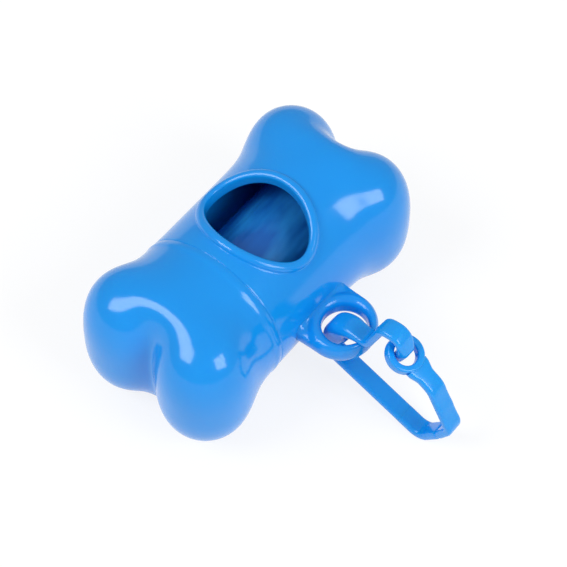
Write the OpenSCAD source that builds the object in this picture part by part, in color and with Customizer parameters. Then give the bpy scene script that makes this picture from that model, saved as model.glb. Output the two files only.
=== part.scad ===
// Bone-shaped holder for a roll of dog waste bags. A hollow bone in two mouldings: a housing
// with an oval mouth and an eye tab, and a pull-off cap that goes over the housing's neck.
// Inside lies a roll of bags on a paper core, and a one-piece snap clip hangs in the eye tab.
// The bone lies along X with the cap at -X, the mouth faces up and the tab points to -Y.

/* [Bone] */
// Diameter of the round shaft
shaft_d = 38; // [35:0.5:42]
// Thickness of the moulded walls
wall = 2; // [1.6:0.1:2.4]
// Distance of each lobe's centre from the middle of the bone
lobe_x = 28.3; // [26:0.1:31]
// Distance of each lobe's centre from the axis
lobe_y = 10.25; // [9:0.05:12]
// Radius of a lobe along the axis
lobe_len_r = 10.4; // [9:0.1:12]
// Radius of a lobe across the axis
lobe_wide_r = 10.6; // [9.5:0.1:12]
// Half of a lobe's height
lobe_high_r = 16.4; // [15:0.1:18.5]
// Squareness of a lobe's side view, where 2 is an ellipse
lobe_square = 2.6; // [2:0.1:4]
// Distance from the middle of the bone to the flat of the shaft's end, under the blend
cleft_x = 30.3; // [28:0.1:33]
// Depth of the rounded edge at the shaft's end
end_depth = 9.5; // [4:0.5:12]
// Squareness of the shaft's rounded end, where 2 is an ellipse
end_square = 4.1; // [2:0.1:6]
// Softness of the hollow where a lobe grows out of the shaft
shaft_blend = 1.8; // [0.8:0.1:3]
// Softness of the crease between two lobes
cleft_blend = 0.6; // [0.4:0.1:2]

/* [Cap] */
// Distance from the middle of the bone to the joint between cap and housing
seam_x = 12; // [11:0.5:15]
// Length of the neck that the cap goes over
neck_len = 6; // [5:0.5:8]
// Thickness of the neck
neck_t = 2; // [1.4:0.1:2.4]
// Radial clearance between the cap and the neck
cap_fit = 0.15; // [0.1:0.05:0.3]
// Depth of the recess inside the cap that takes the neck
socket_recess = 0.45; // [0.2:0.05:0.5]
// Height of the raised bead round the cap's edge
cap_bead_h = 0.45; // [0.2:0.05:0.8]
// Width of the raised bead round the cap's edge
cap_bead_w = 2; // [1.5:0.1:3]

/* [Mouth] */
// Distance of the mouth's centre from the middle of the bone
mouth_x = 2.8; // [2:0.1:4]
// Length of the mouth along the axis
mouth_len = 19.2; // [16:0.2:20]
// Width of the mouth across the axis
mouth_wide = 24.4; // [20:0.2:26]
// Width of the rounded lip round the mouth
lip_w = 2.2; // [1.6:0.1:3]
// Height of the lip above the shaft
lip_h = 1.1; // [0.6:0.1:1.6]

/* [Eye tab] */
// Distance of the tab's centre line from the middle of the bone
tab_x = 1.4; // [0:0.1:3]
// Distance from the shaft's surface to the centre of the tab's round end
tab_out = 5.9; // [5:0.1:7]
// Outer radius of the tab's round end
tab_r = 8.1; // [7.8:0.1:9]
// Thickness of the tab
tab_t = 3.4; // [2.8:0.1:3.8]
// Radius of the eye's hole
eye_r = 5.2; // [4.8:0.1:5.6]
// Width of the rim between the eye and the tab's tip
rim_w = 1.9; // [1.6:0.1:2.2]
// Height of the bead round the eye above the tab's faces
eye_bead_h = 0.8; // [0.4:0.1:0.9]
// Width of the bead round the eye
eye_bead_w = 1.6; // [1.2:0.1:2]
// Radius of the fillets where the tab meets the shaft
tab_fillet = 1.5; // [0.5:0.1:2.5]

/* [Clip] */
// Width of the clip's strip
clip_w = 4.2; // [3.6:0.1:4.4]
// Thickness of the hook, neck and strap
clip_t = 2.2; // [1.8:0.1:2.4]
// Thickness of the snap arm
arm_t = 2.2; // [1.8:0.1:2.4]
// Sideways shift of the clip in the eye
clip_shift = -0.7; // [-1.2:0.1:0.8]
// Width of the hook's tip
tip_w = 3.2; // [2.6:0.1:3.4]
// Outer radius of the ring that the hook's tip drops into
ring_r = 4.3; // [4.1:0.1:4.5]
// Radius of the ring's hole
ring_hole_r = 2.7; // [2.6:0.05:2.9]
// Thickness of the ring
ring_t = 1.9; // [1.6:0.1:2]
// Depth of the notch on the outside of the living hinge
notch = 0.4; // [0.2:0.05:0.6]

/* [Bag roll] */
// Outer diameter of the wound roll
roll_d = 24.5; // [22:0.5:26]
// Length of the wound roll
roll_len = 56; // [40:1:60]
// Outer diameter of the paper core
core_d = 13; // [10:0.5:15]
// Thickness of the paper core's wall
core_t = 1; // [0.6:0.1:1.6]
// How far the core stands out of the roll at each end
core_out = 0.5; // [0.2:0.1:1]
// Clearance between the roll and the neck under it
roll_gap = 0.3; // [0.2:0.05:0.6]

/* [Hidden] */

plastic = "dodgerblue";
over = 1; // how far a cut or a joined piece runs past the face it meets
fine = 56; // facets of a full circle
edge_fine = 14; // facets of a small rounded edge

shaft_r = shaft_d / 2;
cavity_r = shaft_r - wall;
socket_r = cavity_r + socket_recess;
neck_r = socket_r - cap_fit;
neck_bore = neck_r - neck_t;

// ---- The bone's surface: a bar and two lobes at each end, blended into one skin ----------
around = fine; // points round the axis, in step with the round bodies inside
fan_x = 18; // where the rings begin to fan out towards the bone's end
fan_steps = 11; // rings from there to the end's pole
bar_steps = 3; // rings along the straight part of the housing
probe = 48; // a distance that is outside the bone in every direction
halvings = 17;

// Smaller of two distances, with a soft change from one to the other
function soft_min(a, b, k) =
    let (m = min(a, b))
    m - k * ln(exp((m - a) / k) + exp((m - b) / k));

// The bar: round in section, flat at its ends, with a rounded edge
function bar_field(p, inset) =
    let (r = shaft_r - inset,
         past = max(abs(p.x) - cleft_x + end_depth, 0) * r / (end_depth - inset))
    pow(pow(past, end_square) + pow(norm([p.y, p.z]), end_square), 1 / end_square) - r;

// One lobe: an upright egg, oval from above and squarish from the side
function lobe_field(p, side, inset) =
    let (wide = lobe_wide_r - inset,
         flat = norm([(abs(p.x) - lobe_x) / (lobe_len_r - inset), (p.y - side * lobe_y) / wide]),
         tall = abs(p.z) / (lobe_high_r - inset))
    (pow(pow(flat, lobe_square) + pow(tall, lobe_square), 1 / lobe_square) - 1) * wide;

// Negative inside the bone and positive outside; the inset gives the inner skin
function bone_field(p, inset) =
    soft_min(bar_field(p, inset),
             soft_min(lobe_field(p, 1, inset), lobe_field(p, -1, inset), cleft_blend),
             shaft_blend);

// Where a ray from o along d leaves the skin, found by halving the distance
function hit(o, d, inset, lo = 0, hi = probe, n = halvings) =
    let (mid = (lo + hi) / 2)
    n == 0 ? o + d * mid
    : bone_field(o + d * mid, inset) < 0 ? hit(o, d, inset, mid, hi, n - 1)
    : hit(o, d, inset, lo, mid, n - 1);

// Points of the skin round the axis, on rays that lean towards the bone's end
function skin_ring(x, side, lean, inset) =
    [for (i = [0 : around - 1])
        let (turn = 360 * i / around)
        hit([x, 0, 0],
            [side * sin(lean), cos(lean) * cos(turn), cos(lean) * sin(turn)], inset)];

// All rings of one end of the bone, from its flat cut to the last ring before the pole
function end_rings(side, cut, steps, inset) = concat(
    [for (i = [0 : steps - 1]) skin_ring(cut + (side * fan_x - cut) * i / steps, side, 0, inset)],
    [for (i = [0 : fan_steps - 1]) skin_ring(side * fan_x, side, 90 * i / fan_steps, inset)]);

// One end of the bone as a closed solid: the cut, the rings and the pole
module bone_end(side, cut, steps, inset) {
    rings = end_rings(side, cut, steps, inset);
    last = len(rings) - 1;
    pole = hit([side * fan_x, 0, 0], [side, 0, 0], inset);
    faces = concat(
        [[for (i = [0 : around - 1]) i]],
        [for (j = [0 : last - 1], i = [0 : around - 1])
            let (a = j * around + i,
                 b = j * around + (i + 1) % around)
            each [[a, a + around, b], [b, a + around, b + around]]],
        [for (i = [0 : around - 1])
            [last * around + i, (last + 1) * around, last * around + (i + 1) % around]]);
    polyhedron(concat([for (r = rings) each r], [pole]),
        side > 0 ? faces : [for (f = faces) [for (k = [len(f) - 1 : -1 : 0]) f[k]]],
        convexity = 6);
}

housing_rings = end_rings(1, -seam_x, bar_steps, 0);
bone_half_w = max([for (r = housing_rings) for (p = r) p.y]);
bone_half_h = max([for (r = housing_rings) for (p = r) p.z]);
rest_h = max(bone_half_h, shaft_r + cap_bead_h); // height of the axis above the table

// ---- Round bodies along the bone's axis ---------------------------------------------------
module along_x(x0, x1, r) {
    translate([x0, 0, 0])
        rotate([0, 90, 0])
            cylinder(r = r, h = x1 - x0, $fn = fine);
}

// ---- Mouth --------------------------------------------------------------------------------
mouth_points = 64;
lip_sides = 10;
lip_root = 1.2; // how deep the lip's bead is set into the shaft
lip_grow = 0.1; // how far the bead laps over the mouth's edge before the mouth is cut

module mouth_cut() {
    linear_extrude(shaft_d)
        polygon([for (i = [0 : mouth_points - 1])
            let (t = 360 * i / mouth_points)
            [mouth_x + mouth_len / 2 * cos(t), mouth_wide / 2 * sin(t)]]);
}

// The lip: a rounded bead carried round the mouth on the curved shaft
function lip_ring(t) =
    let (half = [(mouth_len + lip_w) / 2, (mouth_wide + lip_w) / 2],
         y = half.y * sin(t),
         foot = [mouth_x + half.x * cos(t), y, sqrt(shaft_r * shaft_r - y * y)],
         up = [0, foot.y, foot.z] / shaft_r,
         away = [cos(t) / half.x, sin(t) / half.y, 0],
         side = away - up * (away * up))
    [for (j = [0 : lip_sides - 1])
        let (a = 360 * j / lip_sides)
        foot + side / norm(side) * (lip_w / 2 + lip_grow) * cos(a)
             + up * sin(a) * (sin(a) > 0 ? lip_h : lip_root)];

module lip() {
    rings = [for (i = [0 : mouth_points - 1]) lip_ring(360 * i / mouth_points)];
    polyhedron([for (r = rings) each r],
        [for (i = [0 : mouth_points - 1], j = [0 : lip_sides - 1])
            let (a = i * lip_sides + j,
                 b = i * lip_sides + (j + 1) % lip_sides,
                 c = (i + 1) % mouth_points * lip_sides + j,
                 d = (i + 1) % mouth_points * lip_sides + (j + 1) % lip_sides)
            each [[a, b, c], [b, d, c]]],
        convexity = 8);
}

// ---- Eye tab ------------------------------------------------------------------------------
tab_y = shaft_r + tab_out;
tip_y = tab_y + tab_r;
eye_y = tip_y - rim_w - eye_r;
eye_half_t = tab_t / 2 + eye_bead_h;
tab_root_y = cavity_r + wall / 2;

// Section of the tab's edge: flat faces that end in a half round
module tab_edge(x0) {
    translate([x0, -tab_t / 2])
        square([tab_r - tab_t / 2 - x0, tab_t]);
    translate([tab_r - tab_t / 2, 0])
        circle(d = tab_t, $fn = edge_fine);
}

module tab() {
    translate([tab_x, 0, 0])
        difference() {
            union() {
                translate([0, -tab_y, 0])
                    rotate_extrude($fn = fine)
                        intersection() {
                            tab_edge(0);
                            translate([0, -tab_t])
                                square([tab_r, 2 * tab_t]);
                        }
                translate([0, -tab_root_y, 0])
                    rotate([90, 0, 0])
                        linear_extrude(tab_y - tab_root_y) {
                            tab_edge(0);
                            mirror([1, 0])
                                tab_edge(0);
                        }
                for (side = [-1, 1])
                    tab_root(side);
            }
            translate([0, -eye_y, -tab_t])
                cylinder(r = eye_r, h = 2 * tab_t, $fn = fine);
        }
    translate([tab_x, -eye_y, 0])
        eye_bead();
}

// The fillet beside the tab's root, as thick as the flat part of the tab
module tab_root(side) {
    reach = tab_fillet + tab_t / 4;
    translate([side * (tab_r - tab_t / 4), -shaft_r - tab_fillet, -tab_t / 4])
        linear_extrude(tab_t / 2)
            difference() {
                translate([side > 0 ? 0 : -reach, 0])
                    square([reach, tab_fillet + wall / 2]);
                translate([side * reach, 0])
                    circle(r = tab_fillet, $fn = fine);
            }
}

// The bead round the eye: rounded at its top and bottom, thicker than the tab
module eye_bead() {
    rotate_extrude($fn = fine)
        translate([eye_r + eye_bead_w / 2, 0]) {
            square([eye_bead_w, 2 * eye_half_t - eye_bead_w], center = true);
            for (side = [-1, 1])
                translate([0, side * (eye_half_t - eye_bead_w / 2)])
                    circle(d = eye_bead_w, $fn = edge_fine);
        }
}

// ---- Housing ------------------------------------------------------------------------------
flange_len = 3; // length of the neck's root inside the housing

module neck() {
    difference() {
        union() {
            along_x(-seam_x - neck_len, -seam_x + over, neck_r);
            along_x(-seam_x, -seam_x + flange_len, cavity_r + wall / 2);
        }
        along_x(-seam_x - neck_len - over, -seam_x + flange_len + over, neck_bore);
    }
}

module body_shell() {
    color(plastic) {
        difference() {
            union() {
                bone_end(1, -seam_x, bar_steps, 0);
                lip();
            }
            bone_end(1, -seam_x - over, bar_steps, wall);
            mouth_cut();
        }
        neck();
        tab();
    }
}

// ---- Cap ----------------------------------------------------------------------------------
// The bead round the cap's edge, a low arch in section
module cap_bead() {
    half = cap_bead_w / 2;
    arch = (half * half + cap_bead_h * cap_bead_h) / (2 * cap_bead_h);
    translate([-seam_x, 0, 0])
        rotate([0, -90, 0])
            rotate_extrude($fn = fine)
                intersection() {
                    translate([shaft_r + cap_bead_h - arch, half])
                        circle(r = arch, $fn = 2 * edge_fine);
                    translate([cavity_r + wall / 2, 0])
                        square([wall, cap_bead_w]);
                }
}

module cap_shell() {
    color(plastic)
        difference() {
            union() {
                bone_end(-1, -seam_x, 1, 0);
                cap_bead();
            }
            bone_end(-1, -seam_x + over, 1, wall);
            along_x(-seam_x - neck_len - roll_gap, -seam_x + over, socket_r);
        }
}

// ---- Bag roll -----------------------------------------------------------------------------
end_gap = 0.6; // clearance between the core's end and the inside of the bone
roll_z = roll_d / 2 + roll_gap - neck_bore;
room = hit([0, 0, roll_z - roll_d / 2], [1, 0, 0], wall).x;
roll_half = min(roll_len / 2, room - end_gap - core_out);

module tube(half, r_out, r_in) {
    translate([0, 0, roll_z])
        difference() {
            along_x(-half, half, r_out);
            along_x(-half - over, half + over, r_in);
        }
}

module roll_core() {
    color("burlywood")
        tube(roll_half + core_out, core_d / 2, core_d / 2 - core_t);
}

module bag_roll() {
    color("midnightblue")
        tube(roll_half, roll_d / 2, core_d / 2);
}

// ---- Clip ---------------------------------------------------------------------------------
// Drawn from the side as [outwards, up] from the middle of the tab's rim, where it hangs.
// The strap lies below the tab, curls up through the eye, crosses the rim as the neck and
// rises into the hook. A foot and an arm come back from the strap's far end to the ring.
rim_mid = tip_y - rim_w / 2;
curl = [-11.05, -8.2]; // where the strap turns up into the eye
foot = [17.35, 0.4 - rest_h]; // where the strap turns up into the foot, near the table
hinge_mid = [22.05, -13.1]; // middle of the living hinge
heel = [25.25, -8.8];
elbow = [19.45, 1.65]; // where the arm turns towards the ring
ring_lean = 31; // slope of the ring, which faces up and outwards
ring_top = [11.75, 7.4]; // centre of the ring's upper face
ring_up = [sin(ring_lean), cos(ring_lean)];
ring_out = [cos(ring_lean), -sin(ring_lean)];
ring_mid = ring_top - ring_up * ring_t / 2;
swing_gap = 0.15; // running clearance between the neck and the rim it hangs on
neck_h = eye_half_t + swing_gap + clip_t / 2;
tip_shift = -0.45; // the tip's place in the ring's hole
tip_past = 0.3; // how far the tip stands out below the ring
tip_end = ring_top + ring_out * tip_shift - ring_up * (ring_t + tip_past);
tip_bend = ring_top + ring_out * tip_shift + ring_up;
hinge_gap = 0.3; // width of the slot that the living hinge bends in
foot_dir = (hinge_mid - foot) / norm(hinge_mid - foot);

hook_path = [hinge_mid - foot_dir * hinge_gap / 2, foot, curl, [-4.95, neck_h],
    [2.25, neck_h], [6.85, 13.2], [10.2, 13.2], tip_bend, tip_end];
hook_bends = [3.5, 2.2, 3, 2.5, 2.2, 2.2, 1.5];
arm_path = [hinge_mid + foot_dir * hinge_gap / 2, heel, elbow, ring_mid + ring_out * ring_r];
arm_bends = [2.6, 4];

// The corner b of a line a-b-c, rounded to the radius r
function bend(a, b, c, r) =
    let (u = (a - b) / norm(a - b),
         v = (c - b) / norm(c - b),
         half = acos(u * v) / 2,
         mid = b + (u + v) / norm(u + v) * (r / sin(half)),
         p = b + u * (r / tan(half)) - mid,
         q = b + v * (r / tan(half)) - mid,
         from = atan2(p.y, p.x),
         raw = atan2(q.y, q.x) - from,
         sweep = raw - 360 * round(raw / 360),
         n = ceil(abs(sweep) / 8))
    [for (i = [0 : n]) mid + r * [cos(from + sweep * i / n), sin(from + sweep * i / n)]];

function rounded(path, radii) = concat(
    [path[0]],
    [for (i = [1 : len(path) - 2]) each bend(path[i - 1], path[i], path[i + 1], radii[i - 1])],
    [path[len(path) - 1]]);

// The outline of a strip of even thickness along a line
function strip(line, t) =
    let (last = len(line) - 1,
         off = [for (i = [0 : last])
             let (d = line[min(i + 1, last)] - line[max(i - 1, 0)])
             [-d.y, d.x] / norm(d) * t / 2])
    concat([for (i = [0 : last]) line[i] + off[i]],
           [for (i = [last : -1 : 0]) line[i] - off[i]]);

arm_outline = strip(rounded(arm_path, arm_bends), arm_t);
clip_far = rim_mid + max([for (p = arm_outline) p.x]);

// Puts a side view in its place beside the bone, w wide
module from_side(w) {
    translate([tab_x + clip_shift - w / 2, -rim_mid, 0])
        rotate([90, 0, 90])
            linear_extrude(w)
                mirror([1, 0])
                    children();
}

// A round bar through the side view, as wide as the clip
module side_pin(at, r) {
    from_side(clip_w + 2 * over)
        translate(at)
            circle(r = r, $fn = edge_fine);
}

// Children stand on the ring's middle plane, with z along its axis
module at_ring() {
    translate([tab_x + clip_shift, -rim_mid - ring_mid.x, ring_mid.y])
        rotate([ring_lean, 0, 0])
            children();
}

module clip_hook() {
    notch_at = hinge_mid + [foot_dir.y, -foot_dir.x] * clip_t / 2;
    taper_x = (clip_w - tip_w) / 2;
    color(plastic)
        difference() {
            from_side(clip_w)
                polygon(strip(rounded(hook_path, hook_bends), clip_t));
            for (side = [-1, 1])
                translate([tab_x + clip_shift + side * clip_w / 2, -rim_mid - ring_top.x, 0])
                    rotate([90, 0, 0])
                        linear_extrude(2 * ring_r, center = true)
                            polygon([[0, tip_bend.y + ring_r], [-side * taper_x, tip_bend.y],
                                [-side * taper_x, 0], [side * over, 0],
                                [side * over, tip_bend.y + ring_r]]);
            side_pin(notch_at, notch);
        }
}

module clip_arm() {
    notch_at = hinge_mid + [foot_dir.y, -foot_dir.x] * arm_t / 2;
    color(plastic)
        difference() {
            union() {
                from_side(clip_w)
                    polygon(arm_outline);
                at_ring()
                    cylinder(r = ring_r, h = ring_t, center = true, $fn = fine);
            }
            at_ring()
                cylinder(r = ring_hole_r, h = 3 * ring_t, center = true, $fn = fine);
            side_pin(notch_at, notch);
        }
}

// ---- The object, standing on z = 0 with the middle of its extent over the origin -----------
translate([0, (clip_far - bone_half_w) / 2, rest_h]) {
    body_shell();
    cap_shell();
    roll_core();
    bag_roll();
    clip_hook();
    clip_arm();
}
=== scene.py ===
import math

import bpy
import numpy as np
from mathutils import Matrix


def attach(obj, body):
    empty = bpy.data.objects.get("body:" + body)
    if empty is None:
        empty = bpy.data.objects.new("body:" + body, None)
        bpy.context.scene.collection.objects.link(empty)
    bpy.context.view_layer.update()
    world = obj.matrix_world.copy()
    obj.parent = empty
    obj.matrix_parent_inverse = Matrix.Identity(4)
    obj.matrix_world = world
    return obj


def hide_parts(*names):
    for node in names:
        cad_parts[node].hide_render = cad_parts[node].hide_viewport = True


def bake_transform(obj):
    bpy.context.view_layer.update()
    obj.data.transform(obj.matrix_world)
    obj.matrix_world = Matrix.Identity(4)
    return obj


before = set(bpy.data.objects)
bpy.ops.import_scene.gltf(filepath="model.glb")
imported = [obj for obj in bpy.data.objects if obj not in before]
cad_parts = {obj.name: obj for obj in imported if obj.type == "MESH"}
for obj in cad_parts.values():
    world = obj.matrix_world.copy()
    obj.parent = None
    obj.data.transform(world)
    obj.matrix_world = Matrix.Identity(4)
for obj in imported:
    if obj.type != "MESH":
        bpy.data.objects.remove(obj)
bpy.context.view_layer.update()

# ---- Housing -------------------------------------------------------------------------------
# The larger of the two mouldings: a hollow bone in glossy blue polypropylene, with an oval
# mouth on top and a neck at its open end. It is injection moulded in one piece, and its walls
# are 2 mm thick. Sizes are in millimetres, from the middle of the bone, with the cap at -X.
MM = 0.001
SHAFT_R = 19.0
WALL = 2.0
LOBE_X, LOBE_Y = 28.3, 10.25
LOBE_LEN_R, LOBE_WIDE_R, LOBE_HIGH_R = 10.4, 10.6, 16.4
LOBE_SQUARE = 2.6
CLEFT_X, END_DEPTH, END_SQUARE = 32.2, 10.4, 3.8
SHAFT_BLEND, CLEFT_BLEND = 1.8, 0.8
SEAM_X = 12.0
NECK_LEN, NECK_R, NECK_BORE = 6.0, 17.3, 15.3
FLANGE_LEN = 3.0
FAN_X = 18.0
MOUTH_X, MOUTH_LEN, MOUTH_WIDE = 2.8, 19.2, 24.4
LIP_W, LIP_H = 2.2, 1.1
BONE_AT = np.array([0.0, 18.3556, 19.45])  # the middle of the bone, above the table
COLUMNS = 256  # points round the axis
FAN_ROWS = 104  # rings over the rounded end
RAY_FAR, RAY_HALVINGS = 48.0, 26  # longest ray to the skin, and how often it is halved
SMOOTH_UNDER = 50  # degrees between two faces, up to which their edge is shaded smooth
BORE_EDGE, NECK_EDGE = 0.3, 0.4  # roundings of the neck's bore and of its outer end
SEAM_FILLET, SEAM_EDGE = 0.2, 0.3  # roundings of the neck's root and of the seam
PLASTIC_BLUE = (0.004, 0.30, 0.83)


def soft_min(a, b, k):
    """Smaller of two distances; k is how softly one gives way to the other."""
    m = np.minimum(a, b)
    return m - k * np.log(np.exp((m - a) / k) + np.exp((m - b) / k))


def bar_distance(p, inset):
    """Distance to a round bar with a squarish dome: a superellipse of length and radius."""
    r = SHAFT_R - inset
    past = np.maximum(np.abs(p[..., 0]) - CLEFT_X + END_DEPTH, 0) * r / (END_DEPTH - inset)
    out = np.hypot(p[..., 1], p[..., 2])
    return (past**END_SQUARE + out**END_SQUARE) ** (1 / END_SQUARE) - r


def lobe_distance(p, side, inset):
    """Distance to an upright egg: an ellipse from above, a superellipse from the side."""
    wide = LOBE_WIDE_R - inset
    flat = np.hypot(
        (np.abs(p[..., 0]) - LOBE_X) / (LOBE_LEN_R - inset), (p[..., 1] - side * LOBE_Y) / wide
    )
    tall = np.abs(p[..., 2]) / (LOBE_HIGH_R - inset)
    return ((flat**LOBE_SQUARE + tall**LOBE_SQUARE) ** (1 / LOBE_SQUARE) - 1) * wide


def bone_distance(p, inset):
    """The bar and its two pairs of lobes run into one skin; inset gives the inner skin."""
    lobes = soft_min(lobe_distance(p, 1, inset), lobe_distance(p, -1, inset), CLEFT_BLEND)
    return soft_min(bar_distance(p, inset), lobes, SHAFT_BLEND)


def skin(start, way, inset):
    """Where rays leave the skin: each ray's length is halved in between until it meets it."""
    way = way / np.linalg.norm(way, axis=-1, keepdims=True)
    near = np.zeros(way.shape[:-1])
    far = np.full(way.shape[:-1], RAY_FAR)
    for _ in range(RAY_HALVINGS):
        mid = (near + far) / 2
        inside = bone_distance(start + way * mid[..., None], inset) < 0
        near, far = np.where(inside, mid, near), np.where(inside, far, mid)
    return start + way * near[..., None]


def spokes():
    """Unit arrows round the X axis, one a column, starting underneath."""
    turn = -math.pi + 2 * math.pi * np.arange(COLUMNS) / COLUMNS
    return np.stack([0 * turn, np.sin(turn), np.cos(turn)], -1)


SPOKES = spokes()


def skin_rows(xs, inset):
    """Rings of the skin on rays straight out from the axis at each x."""
    start = np.stack([xs, 0 * xs, 0 * xs], -1)[:, None, :]
    return skin(start, np.broadcast_to(SPOKES, (len(xs),) + SPOKES.shape), inset)


def on_skin(points, inset):
    """Points moved straight out from the axis, or in towards it, until they lie on the skin."""
    return skin(points * [1, 0, 0], points * [0, 1, 1], inset)


def fan_rows(side, inset):
    """Rings of the rounded end, on rays that lean from the shaft to the end, and its pole."""
    lean = (np.arange(FAN_ROWS) / FAN_ROWS * math.pi / 2)[:, None, None]
    start = np.array([side * FAN_X, 0.0, 0.0])
    along = np.array([side, 0.0, 0.0])
    rows = skin(start, np.sin(lean) * along + np.cos(lean) * SPOKES, inset)
    return rows, skin(start, along[None, :], inset)[0]


def turned_rows(profile):
    """Rings of a turned form: each (x, radius) of the profile carried round the axis."""
    x, r = np.asarray(profile, float).T
    rows = r[:, None, None] * SPOKES[None]
    rows[..., 0] = x[:, None]
    return rows


def corner(x0, r0, x1, r1, x2, r2, steps=5):
    """A rounded corner: the parabola from the first point to the last, pulled by the middle."""
    t = np.linspace(0, 1, steps)[:, None]
    a, b, c = np.array([x0, r0]), np.array([x1, r1]), np.array([x2, r2])
    return (1 - t) ** 2 * a + 2 * t * (1 - t) * b + t**2 * c


def quads(table, loop=True):
    """Four-sided faces between neighbouring rows of a table of point numbers."""
    after = np.roll(table, -1, axis=1)
    q = np.stack([table[:-1], after[:-1], after[1:], table[1:]], -1)
    return q if loop else q[:, :-1]


def fan(row, pole):
    """Triangles, as rows of three, from a closed row of points to one pole."""
    return np.stack([row, np.roll(row, -1), np.full(len(row), pole)], -1)


def volume(points, tris):
    """Volume inside triangles; it is negative when they face inwards."""
    a, b, c = points[tris[:, 0]], points[tris[:, 1]], points[tris[:, 2]]
    return float(np.einsum("ij,ij->i", a, np.cross(b, c)).sum() / 6)


def put(name, points, four, three, material, body, slot, at=BONE_AT):
    """Makes a closed mesh from point and face tables, turned so that it faces outwards."""
    three = np.zeros((0, 3), int) if three is None else three
    tris = np.concatenate([four[:, [0, 1, 2]], four[:, [0, 2, 3]], three])
    if volume(points, tris) < 0:
        four, three = four[:, ::-1], three[:, ::-1]
    mesh = bpy.data.meshes.new(name)
    mesh.vertices.add(len(points))
    mesh.vertices.foreach_set("co", ((points + at) * MM).astype(np.float32).ravel())
    mesh.loops.add(four.size + three.size)
    mesh.loops.foreach_set("vertex_index", np.concatenate([four.ravel(), three.ravel()]))
    sizes = np.concatenate([np.full(len(four), 4), np.full(len(three), 3)])
    mesh.polygons.add(len(sizes))
    mesh.polygons.foreach_set("loop_start", np.concatenate([[0], np.cumsum(sizes)[:-1]]))
    mesh.update(calc_edges=True)
    mesh.validate()
    mesh.shade_smooth()
    mesh.set_sharp_from_angle(angle=math.radians(SMOOTH_UNDER))
    mesh.materials.append(material)
    piece = bpy.data.objects.new(name, mesh)
    bpy.context.scene.collection.objects.link(piece)
    if isinstance(body, str):
        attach(piece, body)
    else:
        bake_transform(piece)
    return piece


def node(tree, kind, **inputs):
    """A shader node with its inputs set; a value that is a socket is linked instead."""
    n = tree.nodes.new(kind)
    for key, value in inputs.items():
        if key.startswith("set_"):
            setattr(n, key[4:], value)
            continue
        place = n.inputs[int(key[1:])] if key[1:].isdigit() else n.inputs[key.replace("_", " ")]
        if isinstance(value, bpy.types.NodeSocket):
            tree.links.new(value, place)
        else:
            place.default_value = value
    return n


def group(name, ins, outs):
    """A shader node group with named number or colour inputs and outputs."""
    tree = bpy.data.node_groups.new(name, "ShaderNodeTree")
    for label, kind, value in ins:
        s = tree.interface.new_socket(label, in_out="INPUT", socket_type=kind)
        s.default_value = value
    for label, kind in outs:
        tree.interface.new_socket(label, in_out="OUTPUT", socket_type=kind)
    return tree, tree.nodes.new("NodeGroupInput"), tree.nodes.new("NodeGroupOutput")


def bare_tree(block):
    """The node tree of a material or a world, emptied."""
    block.use_nodes = True
    block.node_tree.nodes.clear()
    return block.node_tree


def moulded_surface():
    """Colour drift, sink waves and fine scuffs that any injection-moulded face has."""
    number, colour = "NodeSocketFloat", "NodeSocketColor"
    tree, given, result = group(
        "moulded_surface",
        [
            ("Colour", colour, (0.5, 0.5, 0.5, 1)),
            ("Drift", number, 0.05),
            ("Gloss low", number, 0.08),
            ("Gloss high", number, 0.2),
            ("Wave", number, 0.3),
        ],
        [("Colour", colour), ("Roughness", number), ("Height", number)],
    )
    spot = node(tree, "ShaderNodeTexCoord").outputs["Object"]
    broad = node(tree, "ShaderNodeTexNoise", Vector=spot, Scale=45.0, Detail=2.0)
    fine = node(tree, "ShaderNodeTexNoise", Vector=spot, Scale=900.0, Detail=4.0, Roughness=0.6)
    squeeze = node(tree, "ShaderNodeMapping", Vector=spot, Scale=(400.0, 2600.0, 1900.0))
    scuffs = node(tree, "ShaderNodeTexNoise", Vector=squeeze.outputs[0], Scale=1.0, Detail=3.0)
    worn = node(
        tree, "ShaderNodeMapRange", Value=scuffs.outputs[0], From_Min=0.6, From_Max=0.78
    )
    lift = node(
        tree, "ShaderNodeMapRange", Value=broad.outputs[0], From_Min=0.3, From_Max=0.7,
        To_Min=-1.0,
    )
    drift = node(
        tree, "ShaderNodeMath", set_operation="MULTIPLY_ADD", _0=lift.outputs[0],
        _1=given.outputs["Drift"], _2=1.0,
    )
    tint = node(
        tree, "ShaderNodeVectorMath", set_operation="SCALE", _0=given.outputs["Colour"],
        Scale=drift.outputs[0],
    )
    tree.links.new(tint.outputs[0], result.inputs["Colour"])
    patchy = node(
        tree, "ShaderNodeMath", set_operation="MULTIPLY", _0=worn.outputs[0],
        _1=broad.outputs[0],
    )
    gloss = node(
        tree, "ShaderNodeMapRange", Value=patchy.outputs[0],
        To_Min=given.outputs["Gloss low"], To_Max=given.outputs["Gloss high"],
    )
    tree.links.new(gloss.outputs[0], result.inputs["Roughness"])
    wave = node(
        tree, "ShaderNodeMath", set_operation="MULTIPLY", _0=broad.outputs[0],
        _1=given.outputs["Wave"],
    )
    peel = node(
        tree, "ShaderNodeMath", set_operation="MULTIPLY_ADD", _0=fine.outputs[0], _1=0.012,
        _2=wave.outputs[0],
    )
    tree.links.new(peel.outputs[0], result.inputs["Height"])
    return tree


MOULDED = moulded_surface()


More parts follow.
